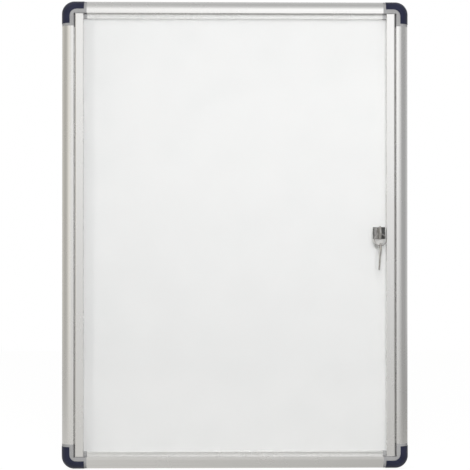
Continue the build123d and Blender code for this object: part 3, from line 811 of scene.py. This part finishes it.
def cut_key(name, hole, length_way, across_way):
    """A key with its bow's hole at the given place: length_way points to the tip, and
    across_way from the cuts to the straight edge."""
    length_way, across_way, hole = np.array(length_way), np.array(across_way), np.array(hole)
    flat_way = np.cross(length_way, across_way)
    long, bow_r, half = key_sizes()
    neck = long - BLADE_L - 2 * bow_r
    shoulder = hole + length_way * (neck + 2 * bow_r - HOLE_IN)
    bow, blade = key_bow(bow_r, half, neck), key_blade(half, neck)
    count = bow.shape[0] * bow.shape[1]
    rows, columns = blade.shape[:2]
    faces = grid_quads(*bow.shape[:2], True, True).tolist()
    faces += grid_quads(rows, columns, False, True, count).tolist()
    ends = count + np.arange(rows * columns).reshape(rows, columns)
    faces += [ends[0].tolist(), ends[-1, ::-1].tolist()]
    points = np.concatenate([bow.reshape(-1, 3), blade.reshape(-1, 3)])
    return mesh_object(name, shoulder + points @ np.stack([length_way, across_way, flat_way]), faces)


NICKELS = rgba(0.42, 0.412, 0.402), rgba(0.53, 0.521, 0.508)
BARE_BRASS = rgba(0.42, 0.36, 0.28)
nickel = worked_metal("key_nickel", *NICKELS, 0.28, EVEN_FINE, 0.004 * MM, BARE_BRASS)
LEAN = math.radians(3.0)
HANG = 1.45 * MM
hinges = [joint for joint in frame["joints"] if joint["type"] == "hinge"]
hung_at = {joint["name"]: np.array(joint["pos_m"]) for joint in hinges}
down = np.array([-math.sin(LEAN), 0.0, -math.cos(LEAN)])
KEYS = {
    "door_key_cut": ("door_key", "key", hung_at["ring_swing"] + [0, 0, HANG], (0, 1, 0), (0, 0, 1)),
    "spare_key_cut": ("spare_key", "spare", hung_at["spare_key_swing"] + down * HANG, down, (0, 1, 0)),
}
for name, (node, body, hole, length_way, across_way) in KEYS.items():
    key = cut_key(name, hole, length_way, across_way)
    key.data.materials.append(nickel)
    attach(key, body)
    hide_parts(node)
    print(name, len(key.data.polygons), "faces")

# %% [markdown]
# ## The split ring
# A key ring is two turns of flattened spring wire lying side by side, which cross over at one
# place and leave the two ends beside the crossing. The wire's middle line is a circle whose
# offset along the ring's axis steps from one side to the other at the crossing. A rounded section
# is carried along it, and shrinks at the ends to close them.

# %% Split ring
CROSS_AT = math.radians(205.0)
CROSS_HALF = math.radians(17.0)
END_GAP = math.radians(3.0)
WIRE_FLAT = 0.18 * MM
WIRE_SPARE = 0.04 * MM
END_LEAST = 0.02
TURN_STEPS = 361
SECTION_STEPS = 20
RING_SHARP_DEG = 60.0


def split_ring(name, node):
    """Two turns of wire. The offset along the axis is a smooth step of the angle; the section is
    an ellipse, and the two turns side by side stay within the solid's round wire."""
    low, high = (np.array(corner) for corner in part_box(node))
    centre = (low + high) / 2
    wire = high[1] - low[1]
    radius = (high[0] - low[0] - wire) / 2
    turn = np.linspace(CROSS_HALF + END_GAP, 4 * np.pi - CROSS_HALF - END_GAP, TURN_STEPS)
    step = np.clip((turn - 2 * np.pi + CROSS_HALF) / (2 * CROSS_HALF), 0, 1)
    offset = (step * step * (3 - 2 * step) - 0.5) * wire / 2
    to_end = np.minimum(turn - turn[0], turn[-1] - turn) * radius
    size = np.sqrt(np.clip(1 - (1 - np.clip(to_end / (wire / 2), END_LEAST, 1)) ** 2, 0, 1))
    round_section = np.linspace(0, 2 * np.pi, SECTION_STEPS, endpoint=False)
    across = np.cos(round_section) * (wire / 2 - WIRE_FLAT)
    sideways = np.sin(round_section) * (wire / 4 - WIRE_SPARE)
    reach = radius + size[:, None] * across
    angle = (turn + CROSS_AT)[:, None]
    depth = offset[:, None] + size[:, None] * sideways
    points = np.stack([reach * np.cos(angle), depth, reach * np.sin(angle)], axis=-1) + centre
    rows, columns = points.shape[:2]
    index = np.arange(rows * columns).reshape(rows, columns)
    faces = grid_quads(rows, columns, False, True).tolist()
    faces += [index[0].tolist(), index[-1, ::-1].tolist()]
    return mesh_object(name, points, faces, RING_SHARP_DEG)


WIRES = rgba(0.42, 0.415, 0.405), rgba(0.55, 0.54, 0.53)
wire_steel = worked_metal("ring_steel", *WIRES, rough=0.22, lines=EVEN_FINE, depth=0.002 * MM)
ring = split_ring("key_split_ring", "key_ring")
ring.data.materials.append(wire_steel)
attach(ring, "ring")
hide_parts("key_ring")
print(ring.name, len(ring.data.polygons), "faces")

# %% [markdown]
# ## The thread on the lock barrel
# Behind the nut a short length of the lock's barrel shows its thread. The solid has a plain
# shank there, so a thin sleeve carries the ridges: its radius is a triangle wave of the distance
# along the barrel less the angle, which is what a screw thread is. The sleeve's inner wall lies
# hidden inside the barrel and closes it.

# %% Barrel thread
BARREL_R = 6.0 * MM
THREAD_PITCH = 0.9 * MM
THREAD_H = 0.09 * MM
SLEEVE_SINK = 0.4 * MM
THREAD_STEPS = 64


def barrel_thread(name):
    """Radius of the sleeve: the barrel's, plus the ridge height times a triangle wave of pitch
    less turns, fading out towards both ends."""
    barrel_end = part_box("lock_housing")[1].y
    nut_low, nut_high = (np.array(corner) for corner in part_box("lock_nut"))
    axis = (nut_low + nut_high) / 2
    turn = np.linspace(0, 2 * np.pi, ROUND_STEPS, endpoint=False)
    along = np.linspace(nut_high[1] - THREAD_PITCH, barrel_end - EDGE_R, THREAD_STEPS)
    phase = along[:, None] / THREAD_PITCH - turn / (2 * np.pi)
    wave = 1 - 2 * np.abs(phase - np.floor(phase) - 0.5)
    fade = np.clip(np.minimum(along - along[0], along[-1] - along) / THREAD_PITCH, 0, 1)[:, None]
    outer = BARREL_R + THREAD_H * wave * fade
    inner = np.full((2, turn.size), BARREL_R - SLEEVE_SINK)
    radius = np.concatenate([outer, inner])
    place = np.concatenate([along, along[[-1, 0]]])[:, None] + np.zeros_like(radius)
    x, z = axis[0] + radius * np.cos(turn), axis[2] + radius * np.sin(turn)
    points = np.stack([x, place, z], axis=-1)
    return mesh_object(name, points, grid_quads(*radius.shape, True, True)[:, ::-1])


thread = barrel_thread("barrel_thread")
thread.data.materials.append(zinc)
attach(thread, "door")
print(thread.name, len(thread.data.polygons), "faces")
